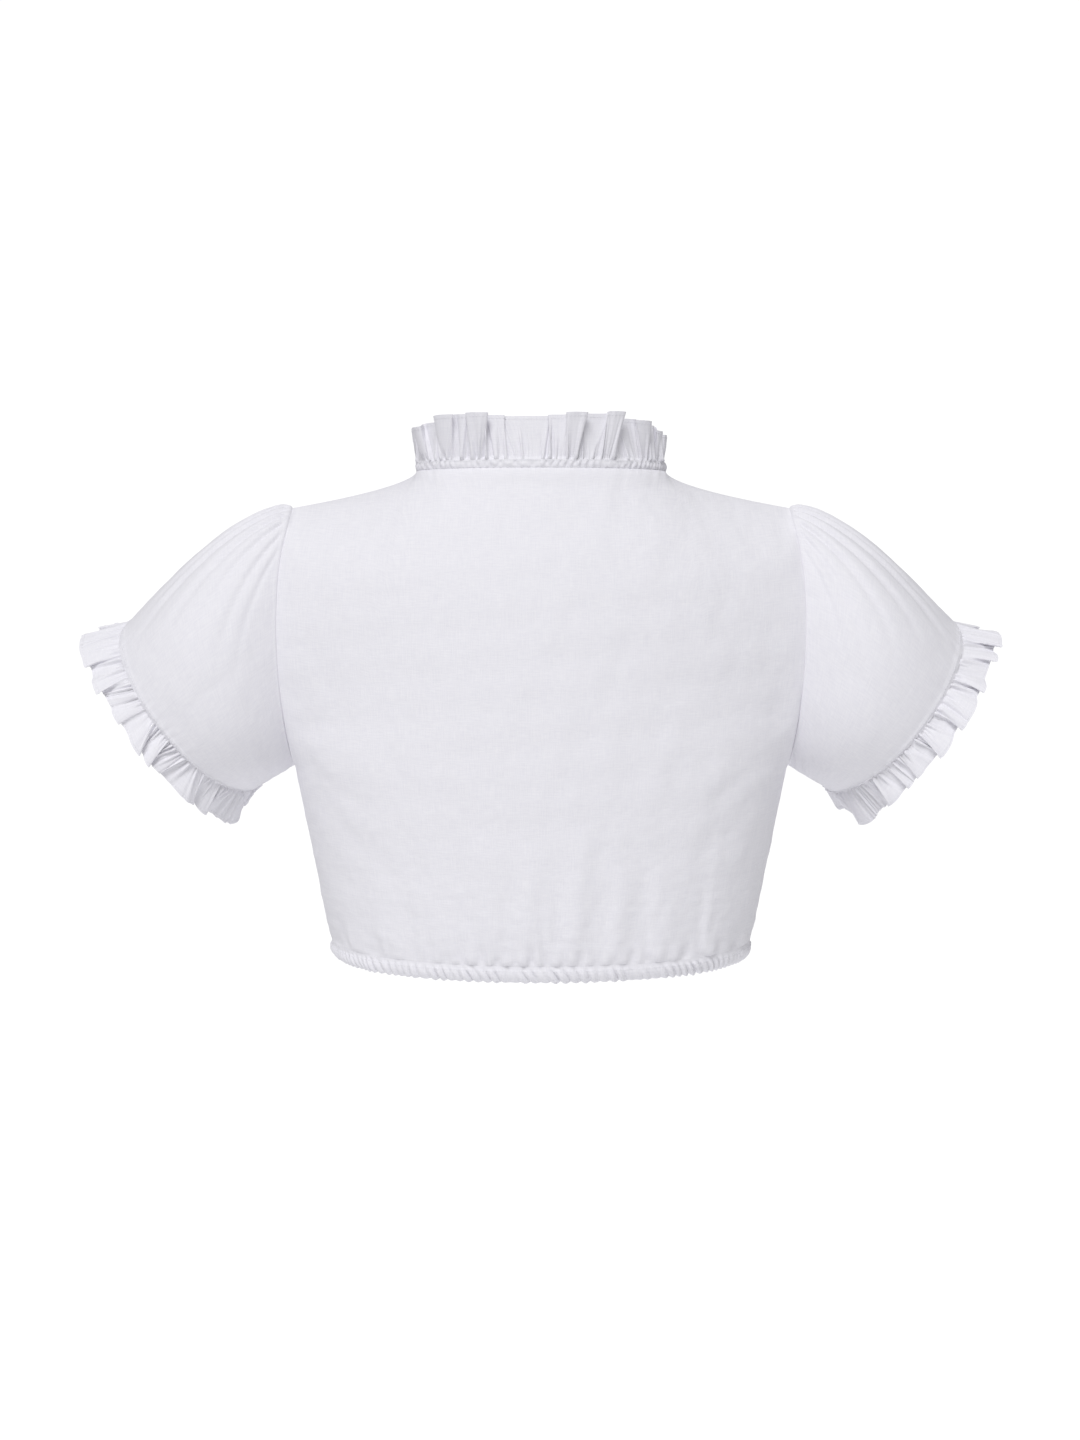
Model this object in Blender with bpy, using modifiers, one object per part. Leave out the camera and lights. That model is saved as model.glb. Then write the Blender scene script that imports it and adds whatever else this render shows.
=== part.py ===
"""Dirndl blouse, worn shape with nobody in it: hollow, open at neck, hem and both cuffs.

Metres, +Z up. The front faces -Y, the wearer's left is +X. The origin is the middle of the
neck opening at the height of the shoulder seams' inner ends. Each cut-and-sewn piece is its
own closed wall of cloth. Every wall starts as an open surface on a grid and gets its
thickness, inwards, from a Solidify modifier.
"""
import math

import bpy
import numpy as np

# Cloth
CLOTH = 0.0011            # wall of one layer of cloth
CASING_WALL = 0.0022      # two layers and the elastic between them
SEAM = 0.0004             # gap between two pieces that are sewn together
RIDGE = 0.0005            # how far a panel stops from the side and shoulder seams' plane

# Body, from the hem to the shoulders
HEM_Z = -0.359            # lower edge of the two panels, where the casing starts
HEM_DIP = 0.008           # how much lower the hem is at the centre back and front
UNDERARM_Z = -0.225
TIP_Z = -0.028            # outer end of the shoulder seam
TIP_HALF = 0.190          # half the width between the shoulder tips
ARMHOLE_DEPTH = 0.052     # half the width of the armhole, front to back
SHOULDER_CURVE = 0.6      # below 1 the shoulder line sags between neck and tip
HEAD_ROOM = 0.085         # height over which the panels round off towards the shoulders

# Neckline: half an oval at the back, half an oblique oval at the front
NECK_HALF = 0.095
NECK_BACK = 0.066
NECK_RISE = 0.003
NECK_FRONT = 0.088
NECK_SCOOP = 0.072

# Neck band and its ruffle
BAND_HEIGHT = 0.0055
RUFFLE_HEIGHT = 0.031
RUFFLE_FLARE = 0.002

# Sleeve ends
CUFF_CENTRE = (0.2705, -0.022, -0.1815)
CUFF_UP = (0.615, 0.0, 0.789)      # from the underside of the cuff to its top
CUFF_ALONG = (0.789, 0.0, -0.615)  # along the arm, seen from behind
CUFF_FORWARD = math.radians(16)    # how far the arm points forwards
CUFF_RADIUS = 0.0805
CUFF_RADIUS_BACK = 0.076
PUFF_TOP = 0.016
PUFF_SIDE = 0.016
CUFF_RUFFLE = 0.027
CUFF_FLARE = math.radians(22)      # the ruffle's mean spread, more above the arm than below
CUFF_FLARE_CHANGE = math.radians(6)

# Hem casing
CASING_HEIGHT = 0.0125
CASING_GATHERS = 72
CASING_GATHER_DEPTH = 0.0009

# Grid counts
NECK_STEPS = 18           # across half the neckline
SHOULDER_STEPS = 9        # along one shoulder seam
BODY_STEPS = 5            # up the side seam
ARMHOLE_STEPS = 10        # up half the armhole
SLEEVE_ROWS = (0.0, 0.08, 0.18, 0.32, 0.48, 0.66, 0.83, 1.0)
CAP_START = 72            # degrees round the sleeve where its gathered cap starts and ends
CAP_END = 288
CAP_SPLIT = 4             # parts of each of the armhole's steps, within the cap
CUFF_STEPS = 180          # round a cuff ruffle
NECK_SPLIT = 5            # parts of each of the neckline's steps, in the neck ruffle
CASING_SPLIT = 3          # parts of each of the hem's steps, in the casing
CUFF_ROWS = (0.0, 0.35, 1.0)
NECK_ROWS = (0.0, 0.4, 1.0)

COTTON_WHITE = (0.83, 0.82, 0.86, 1.0)

BODY_COLUMNS = ("z", "half_width", "back", "front")
BODY = [
    (-0.381, 0.156, 0.096, 0.090),
    (-0.335, 0.167, 0.103, 0.099),
    (-0.290, 0.176, 0.109, 0.111),
    (-0.225, 0.189, 0.114, 0.123),
    (-0.175, 0.196, 0.115, 0.122),
    (-0.120, 0.199, 0.111, 0.110),
    (-0.070, 0.197, 0.103, 0.098),
    (-0.028, 0.190, 0.095, 0.092),
    (0.010, 0.190, 0.090, 0.090),
]

# Soft folds that rise from the casing: place across the panel, half width, depth and height
FOLD_COLUMNS = ("place", "width", "depth", "height")
BACK_FOLDS = [
    (-0.80, 0.070, 0.0026, 0.060),
    (-0.56, 0.085, 0.0030, 0.080),
    (-0.34, 0.060, 0.0034, 0.090),
    (-0.16, 0.070, 0.0042, 0.110),
    (0.04, 0.065, 0.0040, 0.095),
    (0.22, 0.075, 0.0036, 0.105),
    (0.45, 0.080, 0.0028, 0.075),
    (0.70, 0.075, 0.0026, 0.065),
]
FRONT_FOLDS = [
    (-0.74, 0.075, 0.0026, 0.070),
    (-0.50, 0.080, 0.0032, 0.085),
    (-0.27, 0.070, 0.0036, 0.100),
    (-0.06, 0.065, 0.0038, 0.090),
    (0.15, 0.075, 0.0040, 0.105),
    (0.38, 0.070, 0.0032, 0.085),
    (0.61, 0.080, 0.0030, 0.075),
    (0.83, 0.065, 0.0024, 0.060),
]

# Neck ruffle: turning points of its waves. The turn is in degrees round the neck from the
# centre back, towards the wearer's left; out is the wave's reach and rise its extra height.
WAVE_COLUMNS = ("turn", "out", "rise")
NECK_WAVES = [
    (0, -0.0078, 0.001), (9, -0.0080, 0.001), (20, -0.0058, 0.002), (30, 0.0062, 0.004),
    (39, -0.0010, 0.003), (48, 0.0056, 0.003), (57, -0.0045, -0.002), (68, 0.0050, -0.005),
    (80, -0.0045, -0.006), (91, 0.0020, -0.005), (103, -0.0050, -0.002), (115, 0.0060, 0.000),
    (127, -0.0060, 0.000), (139, 0.0065, 0.001), (150, -0.0055, 0.001), (161, 0.0060, 0.002),
    (172, -0.0060, 0.001), (184, 0.0068, 0.001), (196, -0.0055, 0.000), (207, 0.0060, 0.000),
    (218, -0.0060, 0.000), (230, 0.0062, 0.000), (241, -0.0055, -0.002), (252, 0.0030, -0.005),
    (262, -0.0055, -0.008), (271, -0.0008, -0.010), (280, -0.0055, -0.010), (289, 0.0004, -0.008),
    (297, -0.0042, -0.004), (304, 0.0026, -0.001), (311, -0.0052, 0.000), (319, -0.0050, 0.002),
    (328, 0.0060, 0.005), (337, -0.0030, 0.003), (346, 0.0060, 0.004), (353, -0.0050, 0.002),
    (360, -0.0078, 0.001),
]

# Cuff ruffles: the same, round the sleeve end from the underarm towards the back
LEFT_CUFF_WAVES = [
    (0, -0.0050, 0.000), (17, 0.0062, 0.001), (34, -0.0052, -0.001), (42, 0.0052, -0.002),
    (50, -0.0045, -0.003), (59, 0.0060, -0.004), (67, -0.0038, -0.004), (72, 0.0010, -0.005),
    (77, -0.0030, -0.005), (84, 0.0052, -0.004), (90, -0.0040, -0.005), (96, 0.0046, -0.004),
    (102, -0.0035, -0.005), (107, 0.0010, -0.004), (113, -0.0056, -0.004), (119, -0.0052, -0.003),
    (128, 0.0062, -0.002), (137, -0.0040, -0.001), (147, 0.0055, 0.000), (158, 0.0068, 0.001),
    (170, 0.0055, 0.002), (181, -0.0045, 0.003), (191, 0.0060, 0.003), (201, -0.0050, 0.001),
    (211, 0.0065, 0.000), (222, -0.0055, 0.000), (231, 0.0055, -0.001), (240, -0.0045, -0.001),
    (250, 0.0065, 0.001), (260, -0.0055, 0.001), (268, 0.0048, 0.000), (276, -0.0048, 0.000),
    (287, 0.0068, 0.001), (298, -0.0050, 0.000), (306, 0.0048, -0.001), (314, -0.0045, -0.001),
    (325, 0.0068, 0.001), (337, -0.0048, 0.000), (345, 0.0036, 0.000), (352, -0.0040, 0.000),
    (360, -0.0050, 0.000),
]
RIGHT_CUFF_WAVES = [
    (0, -0.0050, 0.000), (10, -0.0042, 0.000), (26, 0.0060, 0.002), (44, -0.0045, -0.001),
    (51, 0.0044, -0.003), (58, -0.0038, -0.004), (63, 0.0014, -0.004), (68, -0.0030, -0.005),
    (73, 0.0014, -0.005), (78, -0.0030, -0.005), (82, -0.0042, -0.005), (90, 0.0058, -0.004),
    (98, -0.0044, -0.005), (105, 0.0055, -0.004), (114, 0.0060, -0.004), (121, -0.0042, -0.004),
    (127, 0.0042, -0.003), (133, -0.0044, -0.003), (139, -0.0050, -0.002), (145, 0.0036, 0.000),
    (151, -0.0032, 0.000), (160, 0.0062, 0.001), (172, 0.0060, 0.002), (182, -0.0048, 0.003),
    (193, 0.0060, 0.003), (204, -0.0055, 0.001), (215, 0.0065, 0.000), (224, -0.0045, -0.001),
    (234, 0.0060, 0.000), (243, -0.0050, -0.001), (254, 0.0068, 0.001), (264, -0.0050, 0.000),
    (272, 0.0052, 0.000), (281, -0.0052, 0.000), (291, 0.0060, 0.001), (300, -0.0045, -0.001),
    (311, 0.0068, 0.001), (322, -0.0052, 0.000), (331, 0.0048, 0.000), (341, -0.0044, 0.000),
    (350, 0.0030, 0.000), (360, -0.0050, 0.000),
]

# Gathers of the sleeve cap. Each starts at one turn on the armhole and fans out to another
# where it ends; degrees from the underarm, over the back
GATHER_COLUMNS = ("start", "end", "width", "depth", "reach")
CAP_GATHERS = [
    (176, 168, 4.5, 0.0030, 0.55), (170, 153, 4.5, 0.0048, 0.85), (164, 138, 4.5, 0.0052, 0.80),
    (157, 122, 5.0, 0.0048, 0.70), (148, 106, 5.0, 0.0040, 0.55), (137, 92, 5.5, 0.0028, 0.42),
    (184, 193, 4.5, 0.0032, 0.55), (191, 208, 4.5, 0.0044, 0.80), (198, 223, 4.5, 0.0052, 0.85),
    (205, 239, 5.0, 0.0046, 0.70), (214, 255, 5.0, 0.0038, 0.55), (225, 268, 5.5, 0.0028, 0.42),
]


def column(table, names, name):
    """One named column of a table."""
    return np.array([row[names.index(name)] for row in table], dtype=float)


def rows_of(table, names):
    """A table's rows, each with its values in the order of the names."""
    return zip(*(column(table, names, name) for name in names))


def through(at, places, values):
    """A smooth curve through a table's values: cubic, with averaged slopes."""
    at = np.clip(at, places[0], places[-1])
    slopes = np.gradient(values, places)
    low = np.clip(np.searchsorted(places, at, side="right") - 1, 0, len(places) - 2)
    span = places[low + 1] - places[low]
    t = (at - places[low]) / span
    rise = (1 + 2 * t) * (1 - t) ** 2 * values[low] + t * t * (3 - 2 * t) * values[low + 1]
    lean = t * (1 - t) ** 2 * slopes[low] - t * t * (1 - t) * slopes[low + 1]
    return rise + span * lean


def body_size(z, name):
    """Half width, back depth or front depth of the body at a height."""
    return through(z, column(BODY, BODY_COLUMNS, "z"), column(BODY, BODY_COLUMNS, name))


def unit(vectors):
    """Vectors of length one."""
    vectors = np.asarray(vectors, dtype=float)
    return vectors / np.linalg.norm(vectors, axis=-1, keepdims=True)


def soften(t):
    """From 0 to 1 with level ends."""
    t = np.clip(t, 0.0, 1.0)
    return t * t * (3 - 2 * t)


def subdivided(loop, times):
    """A closed loop with extra points on its straight runs."""
    ahead = np.roll(loop, -1, axis=0)
    steps = np.arange(times) / times
    points = loop[:, None, :] + (ahead - loop)[:, None, :] * steps[None, :, None]
    return points.reshape(-1, 3)


def top_edge(front):
    """Upper edge of a panel, from -X to +X: shoulder seam, half the neckline, shoulder seam."""
    seam_run = np.linspace(TIP_HALF, NECK_HALF, SHOULDER_STEPS + 1)
    fraction = (seam_run - NECK_HALF) / (TIP_HALF - NECK_HALF)
    seam_z = TIP_Z * fraction ** SHOULDER_CURVE
    turn = np.radians(np.linspace(-90, 90, NECK_STEPS + 1)[1:-1])
    depth, height = (NECK_FRONT, -NECK_SCOOP) if front else (NECK_BACK, NECK_RISE)
    x = np.concatenate([-seam_run, NECK_HALF * np.sin(turn), seam_run[::-1]])
    y = np.concatenate([0 * seam_run, depth * np.cos(turn), 0 * seam_run])
    z = np.concatenate([seam_z, height * np.cos(turn), seam_z[::-1]])
    return x, y, z


def folds(across, above, table):
    """How far the soft folds over the casing stand out at a place across and above the hem."""
    out = np.zeros_like(across)
    for place, width, depth, height in rows_of(table, FOLD_COLUMNS):
        ridge = np.exp(-((across - place) / width) ** 2)
        rise = np.clip(above / height, 0.0, 1.0)
        out = out + depth * ridge * np.sin(math.pi * rise ** 0.6)
    return out


def armhole_width(climb, inward):
    """Half the armhole's width at a height from 0 at the underarm to 1 at the shoulder tip.

    On the edge itself it is an oval's; further inward the underarm's corner is rounded off.
    """
    level = (climb + np.sqrt(climb ** 2 + inward ** 2)) / 2
    return 2 * ARMHOLE_DEPTH * np.sqrt(np.clip(level * (1 - level), 0, 1))


def panel(front):
    """The front or back as rows of points from the hem up, each row from -X to +X."""
    top_x, top_y, top_z = top_edge(front)
    top_u = top_x / TIP_HALF
    across = np.linspace(-1, 1, len(top_x))
    near_edge = np.abs(across) ** 3
    hem_u = np.sin(across * math.pi / 2)
    depth_name = "front" if front else "back"
    table = FRONT_FOLDS if front else BACK_FOLDS
    hem_z = HEM_Z - HEM_DIP * np.sqrt(np.clip(1 - hem_u ** 2, 0, 1))
    room = HEAD_ROOM * np.sqrt(np.clip(1 - top_u ** 2, 0, 1)) + 0.012
    sharp = 0.5 + 0.22 * soften(1.6 - 1.6 * np.abs(top_x) / NECK_HALF)
    rows = []
    for step in range(BODY_STEPS + ARMHOLE_STEPS + 1):
        part = max(0, step - BODY_STEPS) / ARMHOLE_STEPS
        climb_edge = (1 - math.cos(math.pi * part)) / 2
        climb_middle = (part + math.sin(math.pi * part / 2)) / 2
        climb = climb_edge * near_edge + climb_middle * (1 - near_edge)
        low = min(step / BODY_STEPS, 1.0)
        z = hem_z + (UNDERARM_Z - hem_z) * low + (top_z - UNDERARM_Z) * climb
        edge_z = HEM_Z + (UNDERARM_Z - HEM_Z) * low + (TIP_Z - UNDERARM_Z) * climb
        u = hem_u + (top_u - hem_u) * soften(climb)
        around = np.sqrt(np.clip(1 - u ** 2, 0, 1))
        above_underarm = (edge_z - UNDERARM_Z) / (TIP_Z - UNDERARM_Z)
        edge_y = armhole_width(above_underarm, 1 - np.abs(u))
        depth = body_size(z, depth_name)
        oval = depth * around + edge_y * (1 - around) ** 1.5
        flat = edge_y + (depth - edge_y) * around ** 2
        full = oval + (flat - oval) * soften(above_underarm / 0.35)
        cap = (1 - (1 - np.clip((top_z - z) / room, 0, 1)) ** 2) ** sharp
        y = top_y + (full - top_y) * cap
        y = y + folds(u, z - hem_z, table) * around
        y = np.maximum(y, RIDGE)
        rows.append(np.stack([body_size(edge_z, "half_width") * u, y, z], axis=-1))
    points = np.array(rows)
    if front:
        points[..., 1] *= -1
        return points
    return points[:, ::-1]


def joined_loop(front_run, back_run):
    """One loop, counterclockwise from above, of a front run from -X to +X and a back run."""
    left = (front_run[-1] + back_run[0]) / 2
    right = (front_run[0] + back_run[-1]) / 2
    return np.concatenate([[right], front_run[1:-1], [left], back_run[1:-1]])


def neck_loop(front_grid, back_grid):
    """The neckline, from the wearer's right neck point across the front and round the back."""
    run = slice(SHOULDER_STEPS, SHOULDER_STEPS + NECK_STEPS + 1)
    return joined_loop(front_grid[-1][run], back_grid[-1][run])


def armhole_loop(front_grid, back_grid):
    """The left armhole, from the underarm up the back, over the shoulder and down the front."""
    back_run = back_grid[BODY_STEPS:, 0]
    front_run = front_grid[BODY_STEPS:, -1]
    under = (back_run[0] + front_run[0]) / 2
    tip = (back_run[-1] + front_run[-1]) / 2
    return np.concatenate([[under], back_run[1:-1], [tip], front_run[1:-1][::-1]])


def standing_frames(loop):
    """For each point of the neckline: its run, the way a ruffle stands, and outwards."""
    run = unit(np.roll(loop, -1, axis=0) - np.roll(loop, 1, axis=0))
    upright = np.array([0.0, 0.0, 1.0])
    stand = unit(upright - (run @ upright)[:, None] * run)
    return stand, np.cross(run, stand)


def loop_turn(loop):
    """Degrees round a neckline's point from the centre back, towards +X."""
    return np.degrees(np.arctan2(loop[:, 0] / NECK_HALF, loop[:, 1] / NECK_BACK)) % 360


def sleeve_end(turn):
    """The sleeve's end, an oval in one plane, and outwards from it; turn 0 is the underside."""
    up = np.array(CUFF_UP)
    back = np.array([0.0, math.cos(CUFF_FORWARD), 0.0])
    back = back + math.sin(CUFF_FORWARD) * np.array(CUFF_ALONG)
    reach = -np.cos(turn)[:, None] * up * CUFF_RADIUS
    reach = reach + np.sin(turn)[:, None] * back * CUFF_RADIUS_BACK
    return np.array(CUFF_CENTRE) + reach, unit(reach)


def arm_direction():
    """Along the arm, out of the sleeve's end."""
    forward = np.array([0.0, -math.sin(CUFF_FORWARD), 0.0])
    return forward + math.cos(CUFF_FORWARD) * np.array(CUFF_ALONG)


def sleeve_turns():
    """Degrees round the sleeve, close together where the cap is gathered."""
    step = 180.0 / ARMHOLE_STEPS
    turns = []
    for segment in range(2 * ARMHOLE_STEPS):
        start = segment * step
        parts = CAP_SPLIT if CAP_START <= start < CAP_END else 1
        turns.extend(start + step * part / parts for part in range(parts))
    return np.array(turns)


def sleeve(armhole):
    """The left sleeve as rings of points from the armhole to the cuff."""
    turns = sleeve_turns()
    ring_at = turns / (180.0 / ARMHOLE_STEPS)
    closed = np.concatenate([armhole, armhole[:1]])
    start = np.stack([np.interp(ring_at, np.arange(len(closed)), closed[:, axis])
                      for axis in range(3)], axis=-1)
    start[:, 0] += SEAM
    radians = np.radians(turns)
    end, out_end = sleeve_end(radians)
    out_start = np.stack([0.15 + 0 * radians, np.sin(radians), -np.cos(radians)], axis=-1)
    puff = np.sin(radians) ** 2 * PUFF_SIDE + np.clip(-np.cos(radians), 0, 1) * PUFF_TOP
    rings = []
    for v in SLEEVE_ROWS:
        swell = np.sin(math.pi * v ** (0.65 + 0.3 * np.sin(radians) ** 2))
        out = unit(unit(out_start) * (1 - v) + out_end * v)
        pinch = np.zeros_like(turns)
        for first, last, width, depth, reach in rows_of(CAP_GATHERS, GATHER_COLUMNS):
            done = min(v / reach, 1.0)
            turn = first + (last - first) * done
            fade = math.sin(math.pi * done ** 0.5)
            pinch = pinch - depth * np.exp(-((turns - turn) / width) ** 2) * fade
        rings.append(start + (end - start) * v + out * (puff * swell + pinch)[:, None])
    return np.array(rings)


def mirrored(grid):
    """The same rings on the wearer's right, in the other order so that they still face out."""
    flipped = grid * np.array([-1.0, 1.0, 1.0])
    return flipped[:, ::-1]


def waves_at(turns, table):
    """The reach and the extra height of a ruffle's waves at some turns."""
    places = column(table, WAVE_COLUMNS, "turn")
    return [through(turns, places, column(table, WAVE_COLUMNS, name)) for name in ("out", "rise")]


def cuff_ruffle(table):
    """A left sleeve's ruffle: an uneven wave that grows from the seam to the hemmed edge."""
    turns = np.arange(CUFF_STEPS) * 360.0 / CUFF_STEPS
    base, outward = sleeve_end(np.radians(turns))
    along = arm_direction()
    wave, rise = waves_at(turns, table)
    flare = CUFF_FLARE - CUFF_FLARE_CHANGE * np.cos(np.radians(turns))
    rings = []
    for v in CUFF_ROWS:
        length = (CUFF_RUFFLE + rise) * v
        aside = length * np.sin(flare) + wave * v ** 0.8
        ahead = SEAM + length * np.cos(flare)
        rings.append(base + along * ahead[:, None] + outward * aside[:, None])
    return np.array(rings)


def neck_band(loop):
    """The casing between the panels and the ruffle."""
    stand, outward = standing_frames(loop)
    return np.array([loop + stand * SEAM, loop + stand * (SEAM + BAND_HEIGHT)])


def neck_ruffle(loop):
    """The stand-up ruffle, close on the band below and in deep uneven waves at its top."""
    points = subdivided(loop, NECK_SPLIT)
    stand, outward = standing_frames(loop)
    stand = unit(subdivided(stand, NECK_SPLIT))
    outward = unit(subdivided(outward, NECK_SPLIT))
    wave, rise = waves_at(loop_turn(points), NECK_WAVES)
    seat = 2 * SEAM + BAND_HEIGHT
    rings = []
    for v in NECK_ROWS:
        height = seat + (RUFFLE_HEIGHT + rise) * v
        aside = RUFFLE_FLARE * v + wave * v ** 0.8
        rings.append(points + stand * height[:, None] + outward * aside[:, None])
    return np.array(rings)


def hem_casing(front_grid, back_grid):
    """The elastic casing below the panels, pinched into many small gathers."""
    loop = subdivided(joined_loop(front_grid[0], back_grid[0]), CASING_SPLIT)
    run = unit(np.roll(loop, -1, axis=0) - np.roll(loop, 1, axis=0))
    outward = np.cross(run, np.array([0.0, 0.0, 1.0]))
    phase = np.arange(len(loop)) * 2 * math.pi * CASING_GATHERS / len(loop)
    wave = CASING_GATHER_DEPTH * np.cos(phase)
    top = loop + outward * wave[:, None] * 0.3
    top[:, 2] -= SEAM
    bottom = loop + outward * wave[:, None]
    bottom[:, 2] -= SEAM + CASING_HEIGHT + wave * 0.8
    return np.array([bottom, top])


def cloth_material(name):
    """White cotton cloth, matt."""
    material = bpy.data.materials.new(name)
    material.use_nodes = True
    shader = material.node_tree.nodes["Principled BSDF"]
    shader.inputs["Base Color"].default_value = COTTON_WHITE
    shader.inputs["Roughness"].default_value = 0.85
    shader.inputs["Metallic"].default_value = 0.0
    return material


def wall(name, grid, closed, thickness, collection):
    """A piece of cloth: a surface through a grid of points, thickened towards its inside."""
    rows, columns = grid.shape[:2]
    across = np.arange(columns if closed else columns - 1)
    low = (np.arange(rows - 1)[:, None] * columns + across[None, :]).ravel()
    low_next = (np.arange(rows - 1)[:, None] * columns + (across[None, :] + 1) % columns).ravel()
    faces = np.stack([low, low_next, low_next + columns, low + columns], axis=-1)
    mesh = bpy.data.meshes.new(name)
    mesh.from_pydata(grid.reshape(-1, 3).tolist(), [], faces.tolist())
    mesh.materials.append(cloth_material(name + "_cotton"))
    mesh.shade_smooth()
    piece = bpy.data.objects.new(name, mesh)
    collection.objects.link(piece)
    solidify = piece.modifiers.new("cloth", "SOLIDIFY")
    solidify.thickness = thickness
    solidify.offset = -1.0
    return piece


def build():
    """All the pieces of the blouse."""
    for old in list(bpy.data.objects):
        bpy.data.objects.remove(old, do_unlink=True)
    collection = bpy.data.collections.new("dirndl_blouse")
    bpy.context.scene.collection.children.link(collection)
    front_grid = panel(front=True)
    back_grid = panel(front=False)
    neckline = neck_loop(front_grid, back_grid)
    left_sleeve = sleeve(armhole_loop(front_grid, back_grid))
    left_ruffle = cuff_ruffle(LEFT_CUFF_WAVES)
    right_ruffle = mirrored(cuff_ruffle(RIGHT_CUFF_WAVES))
    wall("back", back_grid, False, CLOTH, collection)
    wall("front", front_grid, False, CLOTH, collection)
    wall("sleeve_left", left_sleeve, True, CLOTH, collection)
    wall("sleeve_right", mirrored(left_sleeve), True, CLOTH, collection)
    wall("cuff_ruffle_left", left_ruffle, True, CLOTH, collection)
    wall("cuff_ruffle_right", right_ruffle, True, CLOTH, collection)
    wall("neck_band", neck_band(neckline), True, CASING_WALL, collection)
    wall("neck_ruffle", neck_ruffle(neckline), True, CLOTH, collection)
    wall("hem_casing", hem_casing(front_grid, back_grid), True, CASING_WALL, collection)


build()
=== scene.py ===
# White cotton dirndl blouse, worn shape with nobody in it, seen from behind.
# Metres, +Z up, front towards -Y, the wearer's left towards +X.
import math

import bpy
import numpy as np
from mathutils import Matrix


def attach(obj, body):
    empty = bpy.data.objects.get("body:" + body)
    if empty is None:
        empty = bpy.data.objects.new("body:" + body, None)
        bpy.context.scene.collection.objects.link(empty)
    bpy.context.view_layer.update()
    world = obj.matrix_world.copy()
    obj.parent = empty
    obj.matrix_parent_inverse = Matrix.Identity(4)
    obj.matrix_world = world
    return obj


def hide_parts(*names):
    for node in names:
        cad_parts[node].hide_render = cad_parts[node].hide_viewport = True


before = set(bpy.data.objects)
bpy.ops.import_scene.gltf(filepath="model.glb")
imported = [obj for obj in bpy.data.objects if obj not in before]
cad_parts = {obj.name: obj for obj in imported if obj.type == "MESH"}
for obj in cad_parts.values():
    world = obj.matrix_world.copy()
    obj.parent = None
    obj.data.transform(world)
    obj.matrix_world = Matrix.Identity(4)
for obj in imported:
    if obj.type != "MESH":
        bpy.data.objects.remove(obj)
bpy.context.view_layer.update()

# Main form, the same sizes as the fixed frame
form = {
    "cadGap": 0.0004, "seamGap": 0.00004, "ridgeGap": 0.00004,
    "hemZ": -0.359, "hemDip": 0.008, "underarmZ": -0.225, "tipZ": -0.028, "tipHalf": 0.190,
    "armholeDepth": 0.052, "shoulderCurve": 0.6, "headRoom": 0.085,
    "neckHalf": 0.095, "neckBack": 0.066, "neckRise": 0.003, "neckFront": 0.088,
    "neckScoop": 0.072, "bodySteps": 5, "armholeSteps": 10,
}
bodyTable = {
    "z": [-0.381, -0.335, -0.290, -0.225, -0.175, -0.120, -0.070, -0.028, 0.010],
    "halfWidth": [0.156, 0.167, 0.176, 0.189, 0.196, 0.199, 0.197, 0.190, 0.190],
    "back": [0.096, 0.103, 0.109, 0.114, 0.115, 0.111, 0.103, 0.095, 0.090],
    "front": [0.090, 0.099, 0.111, 0.123, 0.122, 0.110, 0.098, 0.092, 0.090],
}


def smoothThrough(at, places, values):
    # cubic through a table's values, each slope the average of its neighbours
    places, values = np.asarray(places, float), np.asarray(values, float)
    at = np.clip(at, places[0], places[-1])
    slopes = np.gradient(values, places)
    low = np.clip(np.searchsorted(places, at, side="right") - 1, 0, len(places) - 2)
    span = places[low + 1] - places[low]
    t = (at - places[low]) / span
    rise = (1 + 2 * t) * (1 - t) ** 2 * values[low] + t * t * (3 - 2 * t) * values[low + 1]
    lean = t * (1 - t) ** 2 * slopes[low] - t * t * (1 - t) * slopes[low + 1]
    return rise + span * lean


def softStep(t):
    t = np.clip(t, 0.0, 1.0)
    return t * t * (3 - 2 * t)


def unitVectors(v):
    return v / np.maximum(np.linalg.norm(v, axis=-1, keepdims=True), 1e-12)


def gridNormals(points, closed):
    # across the columns times up the rows, so a grid that runs right and up faces out
    if closed:
        across = np.roll(points, -1, axis=1) - np.roll(points, 1, axis=1)
    else:
        across = np.gradient(points, axis=1)
    return unitVectors(np.cross(across, np.gradient(points, axis=0)))


def crumple(u, v, size, seed, stretch=(1.0, 1.0), waves=18):
    # a sum of sine waves of one size in many directions, between about -1 and 1
    draw = np.random.default_rng(seed)
    total = np.zeros(np.broadcast(u, v).shape)
    for _ in range(waves):
        turn, phase = draw.uniform(0, 2 * math.pi, 2)
        pitch = size * draw.uniform(0.7, 1.5)
        along = (u * math.cos(turn) / stretch[0] + v * math.sin(turn) / stretch[1]) / pitch
        total += np.sin(2 * math.pi * along + phase)
    return total / math.sqrt(waves)


def seamLengths(points):
    return np.concatenate([[0.0], np.cumsum(np.linalg.norm(np.diff(points, axis=0), axis=1))])


# Materials
def linearColour(hexText):
    parts = [int(hexText[i:i + 2], 16) / 255 for i in (0, 2, 4)]
    return tuple(p / 12.92 if p <= 0.04045 else ((p + 0.055) / 1.055) ** 2.4 for p in parts) + (1,)


def addNode(tree, kind, settings=None, links=None):
    node = tree.nodes.new(kind)
    for name, value in (settings or {}).items():
        if name in node.inputs:
            node.inputs[name].default_value = value
        else:
            setattr(node, name, value)
    for name, source in (links or {}).items():
        tree.links.new(source, node.inputs[name])
    return node


clothLook = {
    # the second, darker colour goes where the slub bump is lowest: partly slub tone, partly painted
    # shade in the troughs
    "colour": "E9E8ED", "slubTroughShadeColour": "E1E0E7", "roughness": 0.82, "sheen": 0.08,
    "threadMm": 0.9,       # real threads are 0.25 mm apart, drawn coarser so that they show
    "slubMm": 14.0, "weaveDepthMm": 0.05, "slubDepthMm": 0.18,
}


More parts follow.
